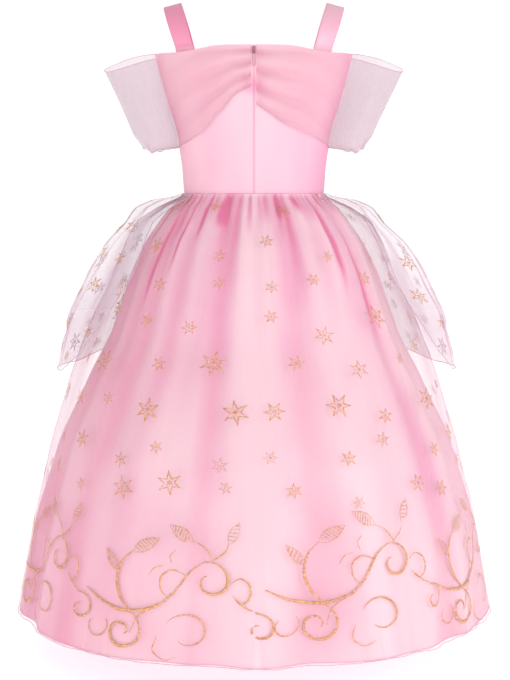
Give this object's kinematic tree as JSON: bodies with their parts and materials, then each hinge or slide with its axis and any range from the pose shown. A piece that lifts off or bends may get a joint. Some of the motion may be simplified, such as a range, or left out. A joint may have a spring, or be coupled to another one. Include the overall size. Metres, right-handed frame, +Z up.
{
  "type": "princess costume dress",
  "caption": "Girl's long princess costume dress with a fitted strapped bodice, off-shoulder sheer sleeves and a full satin skirt under a gathered sheer overskirt.",
  "frame": {"origin": "midway between the undersides of the two shoulder straps at their crests, where the wearer's shoulders hold the dress", "axes": "+Z up, +Y out of the back of the dress where the zip is, -Y out of the front, +X to the wearer's left"},
  "size_m": [0.737, 0.6266, 0.93],
  "materials": {
    "satin": "smooth pink polyester satin with a soft sheen",
    "organza": "sheer pale organza with a gold glitter print",
    "zip_nylon": "pink nylon zip teeth",
    "zip_metal": "pink painted zip slider and pull"
  },
  "bodies": {
    "dress": {"bodice_front": "satin", "bodice_back_left": "satin", "bodice_back_right": "satin", "strap_left": "satin", "strap_right": "satin", "skirt_front": "satin", "skirt_back_left": "satin", "skirt_back_right": "satin", "overskirt_front": "organza", "overskirt_back_left": "organza", "overskirt_back_right": "organza", "side_drape_left": "organza", "side_drape_right": "organza", "band_back_left": "organza", "band_back_right": "organza", "band_front_left": "organza", "band_front_right": "organza", "sleeve_left": "organza", "sleeve_right": "organza", "zip_strip": "zip_nylon", "zip_slider": "zip_metal"},
    "zip_pull": {"zip_pull": "zip_metal"}
  },
  "joints": [
    {"name": "zip_pull_hinge", "type": "hinge", "parent": "dress", "child": "zip_pull", "pos_m": [0, 0.0891, -0.0735], "axis": [1, 0, 0], "range_deg": [0, 140]}
  ]
}
